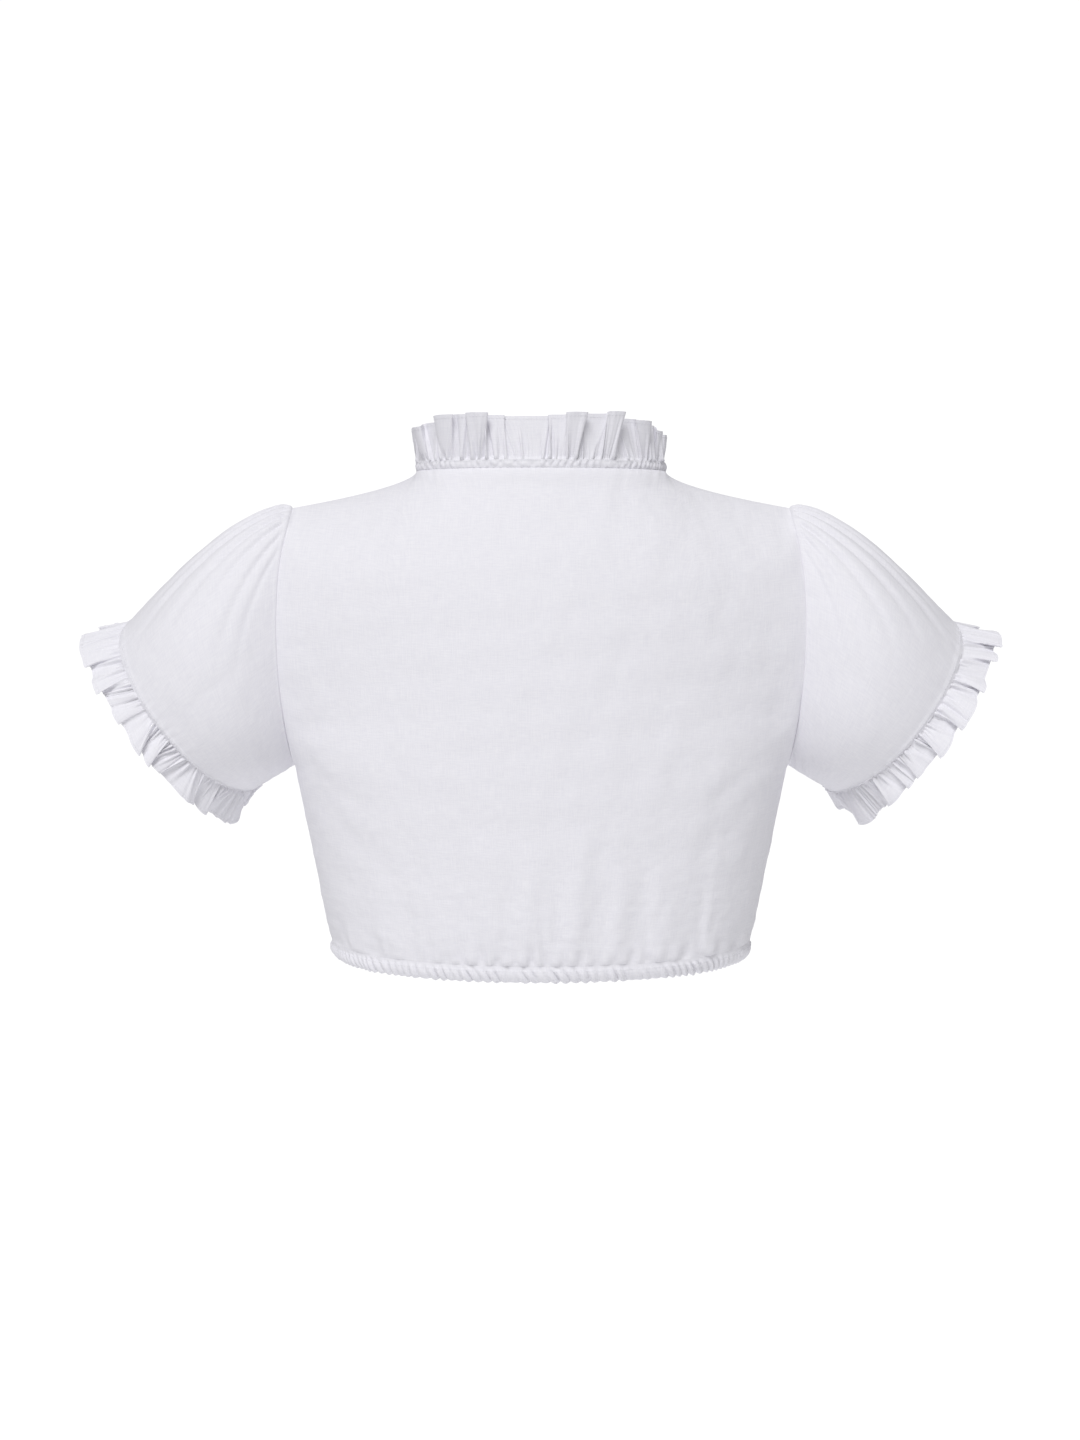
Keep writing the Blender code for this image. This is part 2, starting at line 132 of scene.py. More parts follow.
def cottonBatiste():
    # fine plain-woven cotton: matt, a faint sheen at grazing angles, slubs along both threads; the
    # colour turns darker in the low parts of the slubs, partly slub tone and partly painted shade in
    # their troughs
    material = bpy.data.materials.new("cottonBatisteWoven")
    material.use_nodes = True
    tree = material.node_tree
    shader = tree.nodes["Principled BSDF"]
    place = addNode(tree, "ShaderNodeTexCoord").outputs["UV"]
    perMetre = 1000 / clothLook["threadMm"]
    bands = []
    for direction in ("X", "Y"):
        bands.append(addNode(tree, "ShaderNodeTexWave", {
            "wave_type": "BANDS", "bands_direction": direction, "wave_profile": "SIN",
            "Scale": perMetre * 2 * math.pi / 20, "Distortion": 1.2, "Detail": 1.0,
            "Detail Scale": 0.6}, {"Vector": place}))
    weave = addNode(tree, "ShaderNodeMath", {"operation": "MULTIPLY"})
    tree.links.new(bands[0].outputs["Fac"], weave.inputs[0])
    tree.links.new(bands[1].outputs["Fac"], weave.inputs[1])
    slubs = []
    for stretch in ((1.0, 14.0, 1.0), (12.0, 1.0, 1.0)):
        turned = addNode(tree, "ShaderNodeMapping", {"Scale": stretch}, {"Vector": place})
        slubs.append(addNode(tree, "ShaderNodeTexNoise", {
            "Scale": 1000 / clothLook["slubMm"], "Detail": 4.0, "Roughness": 0.62},
            {"Vector": turned.outputs["Vector"]}))
    slub = addNode(tree, "ShaderNodeMath", {"operation": "ADD"})
    tree.links.new(slubs[0].outputs["Fac"], slub.inputs[0])
    tree.links.new(slubs[1].outputs["Fac"], slub.inputs[1])
    # painted shade: the same noise as the slub bump darkens the colour where the surface is lowest,
    # partly the slubs' own tone
    shade = addNode(tree, "ShaderNodeMix", {"data_type": "RGBA"})
    slubTroughShadeMask = addNode(tree, "ShaderNodeMapRange", {
        "From Min": 0.75, "From Max": 1.25, "To Min": 0.0, "To Max": 1.0},
        {"Value": slub.outputs["Value"]})
    tree.links.new(slubTroughShadeMask.outputs["Result"], shade.inputs[0])
    shade.inputs[6].default_value = linearColour(clothLook["slubTroughShadeColour"])
    shade.inputs[7].default_value = linearColour(clothLook["colour"])
    slubBump = addNode(tree, "ShaderNodeBump", {
        "Strength": 0.5, "Distance": clothLook["slubDepthMm"] / 1000},
        {"Height": slub.outputs["Value"]})
    weaveBump = addNode(tree, "ShaderNodeBump", {
        "Strength": 0.5, "Distance": clothLook["weaveDepthMm"] / 1000},
        {"Height": weave.outputs["Value"], "Normal": slubBump.outputs["Normal"]})
    tree.links.new(shade.outputs[2], shader.inputs["Base Color"])
    tree.links.new(weaveBump.outputs["Normal"], shader.inputs["Normal"])
    shader.inputs["Roughness"].default_value = clothLook["roughness"]
    shader.inputs["Sheen Weight"].default_value = clothLook["sheen"]
    shader.inputs["Specular IOR Level"].default_value = 0.3
    return material


def sewingThread():
    # spun polyester thread, a little brighter than the cloth and with a soft gloss
    material = bpy.data.materials.new("polyesterSewingThread")
    material.use_nodes = True
    tree = material.node_tree
    shader = tree.nodes["Principled BSDF"]
    place = addNode(tree, "ShaderNodeTexCoord").outputs["Object"]
    twist = addNode(tree, "ShaderNodeTexNoise", {"Scale": 1600.0, "Detail": 1.0}, {"Vector": place})
    tone = addNode(tree, "ShaderNodeMix", {"data_type": "RGBA"})
    tree.links.new(twist.outputs["Fac"], tone.inputs[0])
    tone.inputs[6].default_value = linearColour("E6E6EC")
    tone.inputs[7].default_value = linearColour("F7F7FA")
    tree.links.new(tone.outputs[2], shader.inputs["Base Color"])
    shader.inputs["Roughness"].default_value = 0.55
    return material


cotton = cottonBatiste()
thread = sewingThread()


# Meshes
def clothMesh(name, points, uv, closed, wall, material):
    # a grid of points with a UV map in metres, thickened inwards
    rows, columns = points.shape[:2]
    across = np.arange(columns if closed else columns - 1)
    r, c = np.meshgrid(np.arange(rows - 1), across, indexing="ij")
    r, c = r.ravel(), c.ravel()
    cornerRows = np.stack([r, r, r + 1, r + 1], axis=1)
    cornerColumns = np.stack([c, c + 1, c + 1, c], axis=1)
    faces = cornerRows * columns + cornerColumns % columns
    mesh = bpy.data.meshes.new(name)
    mesh.vertices.add(rows * columns)
    mesh.vertices.foreach_set("co", points.reshape(-1).astype(np.float32))
    mesh.loops.add(faces.size)
    mesh.loops.foreach_set("vertex_index", faces.reshape(-1).astype(np.int32))
    mesh.polygons.add(len(faces))
    mesh.polygons.foreach_set("loop_start", np.arange(0, faces.size, 4, dtype=np.int32))
    mesh.update(calc_edges=True)
    layer = mesh.uv_layers.new(name="cloth")
    layer.data.foreach_set("uv", uv[cornerRows, cornerColumns].reshape(-1).astype(np.float32))
    mesh.validate()
    mesh.shade_smooth()
    # the cut edges stay sharp, so that the shading isn't rounded off beside a seam
    ends = np.empty(len(mesh.edges) * 2, np.int32)
    mesh.edges.foreach_get("vertices", ends)
    row, column = ends.reshape(-1, 2) // columns, ends.reshape(-1, 2) % columns
    sharp = (row == 0).all(axis=1) | (row == rows - 1).all(axis=1)
    if not closed:
        sharp |= (column == 0).all(axis=1) | (column == columns - 1).all(axis=1)
    mesh.attributes.new("sharp_edge", "BOOLEAN", "EDGE").data.foreach_set("value", sharp)
    mesh.materials.append(material)
    piece = bpy.data.objects.new(name, mesh)
    bpy.context.scene.collection.objects.link(piece)
    solid = piece.modifiers.new("wall", "SOLIDIFY")
    solid.thickness = wall
    solid.offset = -1.0
    return piece


def stitchMesh(name, lines, length=0.0018, pitch=0.0027, radius=0.00020):
    # each line is (points, outward normals): short rounded stitches lying half in the cloth
    verts, faces, count = [], [], 0
    ring = np.arange(5) * 2 * math.pi / 5
    for points, normals in lines:
        run = seamLengths(points)
        at = np.arange(pitch / 2, run[-1], pitch)
        centre = np.stack([np.interp(at, run, points[:, k]) for k in range(3)], axis=1)
        ahead = np.stack([np.interp(at + 0.0004, run, points[:, k]) for k in range(3)], axis=1)
        up = np.stack([np.interp(at, run, normals[:, k]) for k in range(3)], axis=1)
        along = unitVectors(ahead - centre + 1e-9)
        up = unitVectors(up - along * np.sum(up * along, axis=1, keepdims=True))
        side = np.cross(along, up)
        for place, girth, lift in ((-0.5, 0.45, -0.3), (-0.22, 1.0, 0.35),
                                   (0.22, 1.0, 0.35), (0.5, 0.45, -0.3)):
            middle = centre + along * place * length + up * radius * lift
            spread = side[:, None] * np.cos(ring)[None, :, None]
            spread = spread + up[:, None] * np.sin(ring)[None, :, None]
            verts.append(middle[:, None] + spread * radius * girth)
        total = len(at)
        index = np.arange(total * 5).reshape(total, 5)
        after = np.roll(index, -1, axis=1)
        for step in range(3):
            low, high = count + step * total * 5, count + (step + 1) * total * 5
            quads = np.stack([low + index, high + index, high + after, low + after], axis=-1)
            faces.extend(quads.reshape(-1, 4).tolist())
        faces.extend((count + index).tolist())
        faces.extend((count + 3 * total * 5 + index[:, ::-1]).tolist())
        count += 4 * total * 5
    mesh = bpy.data.meshes.new(name)
    mesh.from_pydata(np.concatenate([v.reshape(-1, 3) for v in verts]).tolist(), [], faces)
    mesh.shade_smooth()
    mesh.materials.append(thread)
    piece = bpy.data.objects.new(name, mesh)
    bpy.context.scene.collection.objects.link(piece)
    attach(piece, "root")
    return piece


# Body panels
panelLook = {
    "columns": 210, "rowsBelow": 66, "rowsAbove": 94, "wall": 0.0007,
    "pucker": 0.0017, "puckerHeight": 0.026, "crease": 0.00030, "fine": 0.00011,
    "lowCrinkle": 0.00022, "lowCrinkleHeight": 0.13, "neckPucker": 0.0005,
}
backFolds = {
    "place": [-0.80, -0.56, -0.34, -0.16, 0.04, 0.22, 0.45, 0.70],
    "width": [0.070, 0.085, 0.060, 0.070, 0.065, 0.075, 0.080, 0.075],
    "depth": [0.0026, 0.0030, 0.0034, 0.0042, 0.0040, 0.0036, 0.0028, 0.0026],
    "height": [0.060, 0.080, 0.090, 0.110, 0.095, 0.105, 0.075, 0.065],
}
frontFolds = {
    "place": [-0.74, -0.50, -0.27, -0.06, 0.15, 0.38, 0.61, 0.83],
    "width": [0.075, 0.080, 0.070, 0.065, 0.075, 0.070, 0.080, 0.065],
    "depth": [0.0026, 0.0032, 0.0036, 0.0038, 0.0040, 0.0032, 0.0030, 0.0024],
    "height": [0.070, 0.085, 0.100, 0.090, 0.105, 0.085, 0.075, 0.060],
}
# narrow ridges that stand on the casing: place across, width, height and depth
narrowFolds = {
    "place": [-0.75, -0.50, -0.26, -0.13, -0.04, 0.12, 0.34, 0.54, 0.72, 0.88],
    "width": [0.018, 0.016, 0.014, 0.011, 0.014, 0.012, 0.018, 0.015, 0.014, 0.012],
    "height": [0.110, 0.075, 0.060, 0.040, 0.085, 0.045, 0.070, 0.065, 0.050, 0.036],
    "depth": [0.0016, 0.0014, 0.0014, 0.0010, 0.0021, 0.0011, 0.0017, 0.0014, 0.0012, 0.0010],
}
# soft troughs drawn from the underarm: across at both ends, height at both ends, width, depth
dragFolds = {
    "fromAcross": [0.97, 0.95, 0.97, -0.97, -0.95, -0.97],
    "toAcross": [0.60, 0.52, 0.74, -0.56, -0.62, -0.72],
    "fromZ": [-0.212, -0.232, -0.196, -0.212, -0.234, -0.194],
    "toZ": [-0.262, -0.318, -0.166, -0.270, -0.310, -0.170],
    "width": [0.009, 0.010, 0.008, 0.009, 0.011, 0.008],
    "depth": [0.0012, 0.0009, 0.0009, 0.0013, 0.0010, 0.0008],
}


def topEdge(across, isFront):
    # across from -1 to 1: shoulder seam, half the neckline between -0.5 and 0.5, shoulder seam
    outside = np.clip((np.abs(across) - 0.5) * 2, 0, 1)
    turn = np.clip(across * 2, -1, 1) * math.pi / 2
    depth = form["neckFront"] if isFront else form["neckBack"]
    height = -form["neckScoop"] if isFront else form["neckRise"]
    seamX = form["neckHalf"] + (form["tipHalf"] - form["neckHalf"]) * outside
    inNeck = np.abs(across) < 0.5
    x = np.where(inNeck, form["neckHalf"] * np.sin(turn), np.sign(across) * seamX)
    y = np.where(inNeck, depth * np.cos(turn), 0.0)
    seamZ = form["tipZ"] * outside ** form["shoulderCurve"]
    return x, y, np.where(inNeck, height * np.cos(turn), seamZ)


def armholeWidth(climb, inward):
    # half the oval's width, 2 * depth * sqrt(climb * (1 - climb)) on the edge itself, and
    # rounded off further in so that no crease runs across the panel at the underarm
    level = (climb + np.sqrt(climb ** 2 + inward ** 2)) / 2
    return 2 * form["armholeDepth"] * np.sqrt(np.clip(level * (1 - level), 0, 1))


def panelPoints(across, step, isFront):
    # step 0 is the hem, 5 the underarm, 15 the top edge; across -1 and 1 are the side seams
    topX, topY, topZ = topEdge(across, isFront)
    topU = topX / form["tipHalf"]
    nearEdge = np.abs(across) ** 3
    hemU = np.sin(across * math.pi / 2)
    part = np.clip(step - form["bodySteps"], 0, None) / form["armholeSteps"]
    climb = (1 - np.cos(math.pi * part)) / 2 * nearEdge
    climb = climb + (part + np.sin(math.pi * part / 2)) / 2 * (1 - nearEdge)
    low = np.clip(step / form["bodySteps"], 0, 1)
    hemZ = form["hemZ"] - form["hemDip"] * np.sqrt(np.clip(1 - hemU ** 2, 0, 1))
    z = hemZ + (form["underarmZ"] - hemZ) * low + (topZ - form["underarmZ"]) * climb
    edgeZ = (form["hemZ"] + (form["underarmZ"] - form["hemZ"]) * low
             + (form["tipZ"] - form["underarmZ"]) * climb)
    u = hemU + (topU - hemU) * softStep(climb)
    around = np.sqrt(np.clip(1 - u ** 2, 0, 1))
    aboveUnderarm = (edgeZ - form["underarmZ"]) / (form["tipZ"] - form["underarmZ"])
    edgeY = armholeWidth(aboveUnderarm, 1 - np.abs(u))
    depth = smoothThrough(z, bodyTable["z"], bodyTable["front" if isFront else "back"])
    oval = depth * around + edgeY * (1 - around) ** 1.5
    flat = edgeY + (depth - edgeY) * around ** 2
    full = oval + (flat - oval) * softStep(aboveUnderarm / 0.35)
    room = form["headRoom"] * np.sqrt(np.clip(1 - topU ** 2, 0, 1)) + 0.012
    sharp = 0.5 + 0.22 * softStep(1.6 - 1.6 * np.abs(topX) / form["neckHalf"])
    cap = (1 - (1 - np.clip((topZ - z) / room, 0, 1)) ** 2) ** sharp
    y = topY + (full - topY) * cap
    folds = frontFolds if isFront else backFolds
    for place, width, deep, height in zip(*(folds[k] for k in folds)):
        rise = np.clip((z - hemZ) / height, 0, 1)
        ridge = np.exp(-((u - place) / width) ** 2) * np.sin(math.pi * rise ** 0.6)
        y = y + deep * ridge * around
    y = np.maximum(y, form["ridgeGap"])
    x = smoothThrough(edgeZ, bodyTable["z"], bodyTable["halfWidth"]) * u
    return np.stack([x, -y if isFront else y, z], axis=-1), u, z - hemZ


def panelRelief(u, above, z, seed):
    # puckers over the casing, troughs from the underarm, and the crumple of washed cotton
    girth = u * 0.17
    beat = crumple(girth, 0 * girth, 0.0085, seed, waves=7)
    reach = panelLook["puckerHeight"] * (1 + 0.5 * crumple(girth, 0 * girth, 0.03, seed + 1, waves=6))
    fade = np.clip(1 - above / np.maximum(reach, 0.012), 0, 1) ** 1.6 * softStep(above / 0.003)
    out = panelLook["pucker"] * beat * fade
    for place, width, height, deep in zip(*(narrowFolds[k] for k in narrowFolds)):
        rise = np.clip(above / height, 0, 1)
        gap = (u - place - 0.010 * rise) / (width * (1 + rise))
        ridge = np.exp(-gap ** 2) - 0.45 * np.exp(-((gap - 1.7) / 1.2) ** 2)
        out = out + deep * ridge * softStep(above / 0.006) * (1 - rise) ** 1.2
    for a0, a1, z0, z1, width, deep in zip(*(dragFolds[k] for k in dragFolds)):
        runX, runZ = (a1 - a0) * 0.19, z1 - z0
        span = math.hypot(runX, runZ)
        px, pz = (u - a0) * 0.19, z - z0
        t = (px * runX + pz * runZ) / span ** 2
        aside = (px * runZ - pz * runX) / span + 0.006 * np.sin(math.pi * t)
        body = softStep(t / 0.15) * softStep((1 - t) / 0.6)
        out = out - deep * np.exp(-(aside / width) ** 2) * body
    quiet = softStep(above / 0.01)
    out = out + panelLook["crease"] * quiet * crumple(girth, z, 0.024, seed + 2, (1.0, 1.7))
    low = np.clip(1 - above / panelLook["lowCrinkleHeight"], 0, 1) ** 1.5 * quiet
    out = out + panelLook["lowCrinkle"] * low * crumple(girth, z, 0.010, seed + 4, (1.6, 1.0), 20)
    return out + panelLook["fine"] * quiet * crumple(girth, z, 0.008, seed + 3, (1.0, 1.3), 24)


def smoothAcross(points, columns):
    # a running average along each row, weighted by a bell curve some columns wide
    reach = np.arange(-3 * columns, 3 * columns + 1)
    weights = np.exp(-0.5 * (reach / columns) ** 2)
    padded = np.pad(points, ((0, 0), (3 * columns, 3 * columns), (0, 0)), mode="edge")
    return sum(w * padded[:, k:k + points.shape[1]] for k, w in enumerate(weights / weights.sum()))


def bodyPanel(name, isFront, seed):
    across = np.linspace(-1, 1, panelLook["columns"])[None, :]
    steps = np.concatenate([np.linspace(0, 5, panelLook["rowsBelow"])[:-1],
                            np.linspace(5, 15, panelLook["rowsAbove"])])[:, None]
    points, u, above = panelPoints(across, steps, isFront)
    if not isFront:
        points, u, above = points[:, ::-1], u[:, ::-1], above[:, ::-1]
    # no crease may run down from the corners of the neckline
    away = softStep((15 - steps) / 1.2) * softStep((1 - np.abs(across)) / 0.25)
    away = away * softStep((steps - 4) / 3)
    points = points + (smoothAcross(points, 12) - points) * away[..., None]
    relief = panelRelief(u, above, points[..., 2], seed)
    edge = softStep((1 - np.abs(across)) / 0.06) * softStep((15 - steps) / 0.8)
    below = (15 - steps) * 0.02
    pull = np.exp(-below / 0.009) * softStep(below / 0.0015) * softStep((0.5 - np.abs(across)) / 0.04)
    relief = relief * edge + panelLook["neckPucker"] * pull * crumple(
        u * 0.17, 0 * u, 0.0055, seed + 5, waves=8)
    points = points + gridNormals(points, False) * relief[..., None]
    uv = np.stack([u * 0.3, above], axis=-1)
    piece = clothMesh(name, points, uv, False, panelLook["wall"], cotton)
    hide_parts("front" if isFront else "back")
    return piece, points


# Sleeves
sleeveLook = {
    "columns": 272, "rows": 100, "wall": 0.0007, "crumple": 0.00018,
    "cuffCentre": (0.2705, -0.022, -0.1815), "up": (0.615, 0.0, 0.789),
    "along": (0.789, 0.0, -0.615), "forward": math.radians(16),
    "radius": 0.0805, "radiusBack": 0.076,
    "puffTop": 0.016, "puffSide": 0.016,
}
# creases that fan out from the shoulder: turn at the armhole and at their end, width in
# degrees, depth, and how far down the sleeve they reach
capCreases = {
    "start": [177, 172, 167, 161, 154, 146, 136, 183, 188, 194, 201, 209, 218, 228],
    "end": [168, 153, 139, 124, 110, 96, 84, 194, 208, 223, 238, 251, 264, 275],
    "width": [2.6, 2.9, 3.0, 3.2, 3.6, 4.0, 4.4, 2.6, 2.9, 3.2, 3.4, 3.8, 4.2, 4.6],
    "depth": [0.0020, 0.0034, 0.0036, 0.0030, 0.0026, 0.0018, 0.0012,
              0.0020, 0.0030, 0.0036, 0.0032, 0.0026, 0.0018, 0.0012],
    "reach": [0.50, 0.82, 0.92, 0.74, 0.60, 0.45, 0.36, 0.48, 0.76, 0.88, 0.78, 0.58, 0.46, 0.36],
}


def sleeveEnd(turn):
    # an oval in one plane; turn 0 is the underside, a quarter turn the back
    up = np.array(sleeveLook["up"])
    back = np.array([0.0, math.cos(sleeveLook["forward"]), 0.0])
    back = back + math.sin(sleeveLook["forward"]) * np.array(sleeveLook["along"])
    reach = (-np.cos(turn)[..., None] * up * sleeveLook["radius"]
             + np.sin(turn)[..., None] * back * sleeveLook["radiusBack"])
    return np.array(sleeveLook["cuffCentre"]) + reach, unitVectors(reach)


def armDirection():
    forward = np.array([0.0, -math.sin(sleeveLook["forward"]), 0.0])
    return forward + math.cos(sleeveLook["forward"]) * np.array(sleeveLook["along"])


def armholePoints(turn):
    # the side edge of the panels: up the back to the shoulder tip, down the front
    half = np.where(turn <= math.pi, turn, 2 * math.pi - turn)
    step = form["bodySteps"] + half / math.pi * form["armholeSteps"]
    edge = np.ones_like(turn)
    back = panelPoints(edge, step, False)[0]
    front = panelPoints(edge, step, True)[0]
    return np.where((turn <= math.pi)[:, None], back, front)


def sleevePoints(turn, v):
    start = armholePoints(turn)
    start[:, 0] += form["seamGap"]
    end, outEnd = sleeveEnd(turn)
    outStart = unitVectors(np.stack([0.15 + 0 * turn, np.sin(turn), -np.cos(turn)], axis=-1))
    puff = np.sin(turn) ** 2 * sleeveLook["puffSide"]
    puff = puff + np.clip(-np.cos(turn), 0, 1) * sleeveLook["puffTop"]
    out = unitVectors(outStart[None] * (1 - v) + outEnd[None] * v)
    swell = np.sin(math.pi * v[..., 0] ** (0.65 + 0.3 * np.sin(turn)[None, :] ** 2))
    return start[None] + (end - start)[None] * v + out * (puff[None, :] * swell)[..., None]


def sleeveRelief(degrees, v, seed):
    out = np.zeros(np.broadcast(degrees, v).shape)
    for start, end, width, deep, reach in zip(*(capCreases[k] for k in capCreases)):
        centre = start + (end - start) * (v / reach) ** 0.9
        spread = width * (0.45 + 0.75 * v / reach)
        fade = softStep(v / 0.05) * np.clip(1 - v / reach, 0, 1) ** 0.8
        gap = (degrees - centre) / spread
        out = out - deep * fade * (np.exp(-gap ** 2) - 0.35 * np.exp(-((gap - 1.7) / 1.1) ** 2))
    around = np.radians(degrees)
    wide = crumple(np.cos(around) * 0.08, np.sin(around) * 0.08 + v * 0.15, 0.03, seed)
    fine = crumple(np.cos(around) * 0.08, np.sin(around) * 0.08 + v * 0.15, 0.009, seed + 1)
    out = out + (sleeveLook["crumple"] * wide + 0.00006 * fine) * softStep(v / 0.05)
    # small puckers where the ruffle's gathers pull on the sleeve's end
    pull = np.clip((v - 0.80) / 0.17, 0, 1) ** 2 * softStep((1 - v) / 0.02)
    return out + 0.0004 * pull * crumple(around * 0.08, 0 * around, 0.008, seed + 2, waves=8)


def sideways(points, isLeft):
    # the wearer's right is the mirror image, in the other order so that it still faces out
    return points if isLeft else points[:, ::-1] * np.array([-1.0, 1.0, 1.0])


def sleevePiece(side, isLeft, seed):
    turn = np.linspace(0, 2 * math.pi, sleeveLook["columns"], endpoint=False)
    v = (np.linspace(0, 1, sleeveLook["rows"]) ** 1.15)[:, None]
    points = sleevePoints(turn, v[..., None])
    relief = sleeveRelief(np.degrees(turn)[None, :], v, seed)
    relief = relief + 0.0006 * np.exp(-((v - 0.978) / 0.011) ** 2)  # turned seam allowances
    relief = relief + 0.0003 * np.exp(-((v - 0.010) / 0.008) ** 2) * softStep(v / 0.004)
    points = points + gridNormals(points, True) * relief[..., None]
    u = np.arange(len(turn) + 1) * 0.5 / len(turn)
    uv = np.stack(np.broadcast_arrays(u[None, :], v * 0.17), axis=-1)
    points = sideways(points, isLeft)
    piece = clothMesh(f"sleeveCloth_{side}", points, uv, True, sleeveLook["wall"], cotton)
    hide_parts(f"sleeve_{side}")
    return piece, points


# Ruffles: turn of each crest and trough in degrees, its reach outwards and its extra length
ruffleLook = {
    "wall": 0.0006, "neckHeight": 0.031, "neckFlare": 0.002, "bandHeight": 0.0055,
    "cuffLength": 0.027, "cuffFlare": math.radians(22), "cuffFlareChange": math.radians(6),
    "omega": 1.0, "cuffOmega": 0.5,
    "cuffLean": 4.4, "neckLean": 1.0,  # degrees that a crest leans over the next fold
    "cuffSlant": 2.4, "neckSlant": 5.0,  # degrees that folds slant between seam and hem
}
neckWaves = {
    "turn": [0, 9, 20, 30, 39, 48, 57, 68, 80, 91, 103, 115, 127, 139, 150, 161, 172, 184, 196,
             207, 218, 230, 241, 252, 262, 271, 280, 289, 297, 304, 311, 319, 328, 337, 346, 353,
             360],
    "out": [-0.0078, -0.0080, -0.0058, 0.0062, -0.0010, 0.0056, -0.0045, 0.0050, -0.0045, 0.0020,
            -0.0050, 0.0060, -0.0060, 0.0065, -0.0055, 0.0060, -0.0060, 0.0068, -0.0055, 0.0060,
            -0.0060, 0.0062, -0.0055, 0.0030, -0.0055, -0.0008, -0.0055, 0.0004, -0.0042, 0.0026,
            -0.0052, -0.0050, 0.0060, -0.0030, 0.0060, -0.0050, -0.0078],
    "rise": [0.001, 0.001, 0.002, 0.004, 0.003, 0.003, -0.002, -0.005, -0.006, -0.005, -0.002,
             0.000, 0.000, 0.001, 0.001, 0.002, 0.001, 0.001, 0.000, 0.000, 0.000, 0.000, -0.002,
             -0.005, -0.008, -0.010, -0.010, -0.008, -0.004, -0.001, 0.000, 0.002, 0.005, 0.003,
             0.004, 0.002, 0.001],
}
leftCuffWaves = {
    "turn": [0, 17, 34, 42, 50, 59, 67, 72, 77, 84, 90, 96, 102, 107, 113, 119, 128, 137, 147, 158,
             170, 181, 191, 201, 211, 222, 231, 240, 250, 260, 268, 276, 287, 298, 306, 314, 325,
             337, 345, 352, 360],
    "out": [-0.0050, 0.0062, -0.0052, 0.0052, -0.0045, 0.0060, -0.0038, 0.0010, -0.0030, 0.0052,
            -0.0040, 0.0046, -0.0035, 0.0010, -0.0056, -0.0052, 0.0062, -0.0040, 0.0055, 0.0068,
            0.0055, -0.0045, 0.0005, -0.0050, 0.0065, -0.0055, 0.0055, -0.0045, 0.0065, -0.0055,
            0.0048, -0.0048, 0.0068, -0.0050, 0.0048, -0.0045, 0.0068, -0.0048, 0.0036, -0.0040,
            -0.0050],
    "rise": [0.000, 0.001, -0.001, -0.002, -0.003, -0.004, -0.004, -0.005, -0.005, -0.004, -0.005,
             -0.004, -0.005, -0.004, -0.004, -0.003, -0.002, -0.001, 0.000, 0.001, 0.002, 0.003,
             0.003, 0.001, 0.000, 0.000, -0.001, -0.001, 0.001, 0.001, 0.000, 0.000, 0.001, 0.000,
             -0.001, -0.001, 0.001, 0.000, 0.000, 0.000, 0.000],
}
rightCuffWaves = {
    "turn": [0, 10, 26, 44, 51, 58, 63, 68, 73, 78, 82, 90, 98, 105, 114, 121, 127, 133, 139, 145,
             151, 160, 172, 182, 193, 204, 215, 224, 234, 243, 254, 264, 272, 281, 291, 300, 311,
             322, 331, 341, 350, 360],
    "out": [-0.0050, -0.0042, 0.0060, -0.0045, 0.0044, -0.0038, 0.0014, -0.0030, 0.0014, -0.0030,
            -0.0042, 0.0058, -0.0044, 0.0055, 0.0060, -0.0042, 0.0042, -0.0044, -0.0050, 0.0036,
            -0.0032, 0.0062, 0.0060, -0.0048, 0.0000, -0.0055, 0.0065, -0.0045, 0.0060, -0.0050,
            0.0068, -0.0050, 0.0052, -0.0052, 0.0060, -0.0045, 0.0068, -0.0052, 0.0048, -0.0044,
            0.0030, -0.0050],
    "rise": [0.000, 0.000, 0.002, -0.001, -0.003, -0.004, -0.004, -0.005, -0.005, -0.005, -0.005,
             -0.004, -0.005, -0.004, -0.004, -0.004, -0.003, -0.003, -0.002, 0.000, 0.000, 0.001,
             0.002, 0.003, 0.003, 0.001, 0.000, -0.001, 0.000, -0.001, 0.001, 0.000, 0.000, 0.000,
             0.001, -0.001, 0.001, 0.000, 0.000, 0.000, 0.000, 0.000],
}


def foldsAt(degrees, waves, lean, omega):
    # Between two turning points t runs from 0 to 1 and the reach follows a cosine. The swing
    # along the edge, omega * sin(2 pi t), widens each crest until it hangs over its troughs, and
    # the lean tips it over the trough on its lower side only.
    places = np.array(waves["turn"], float)
    reach, length = np.array(waves["out"]), np.array(waves["rise"])
    low = np.clip(np.searchsorted(places, degrees, side="right") - 1, 0, len(places) - 2)
    gap = places[low + 1] - places[low]
    t = (degrees - places[low]) / gap
    blend = (1 - np.cos(math.pi * t)) / 2
    out = reach[low] + (reach[low + 1] - reach[low]) * blend
    rise = length[low] + (length[low + 1] - length[low]) * blend
    crossing = np.abs(reach[low + 1] - reach[low]) > 0.002
    swing = np.where(crossing, omega * np.sin(2 * math.pi * t), 0) * gap / math.pi
    crest = np.clip(out / 0.006, -1, 1)
    return out, rise, swing - lean * crest


def gatherLines(degrees, radius, v, seed, pitch, depth, reach):
    # fine sharp creases that start at the seam and fade towards the hemmed edge
    x, y = np.cos(np.radians(degrees)) * radius, np.sin(np.radians(degrees)) * radius
    beat = crumple(x, y, pitch, seed, waves=10)[None, :]
    long = np.clip(0.62 + 0.5 * crumple(x, y, pitch * 3, seed + 1, waves=7), 0.2, 1.4)[None, :]
    fade = np.clip(1 - v / (reach * long), 0, 1) ** 0.8 * softStep(v / 0.05)
    return depth * (0.7 * beat - np.exp(-(beat / 0.45) ** 2)) * fade


def slantLines(degrees, seed):
    return crumple(np.cos(np.radians(degrees)) * 0.08, np.sin(np.radians(degrees)) * 0.08, 0.05,
                   seed, waves=8)[None, :]


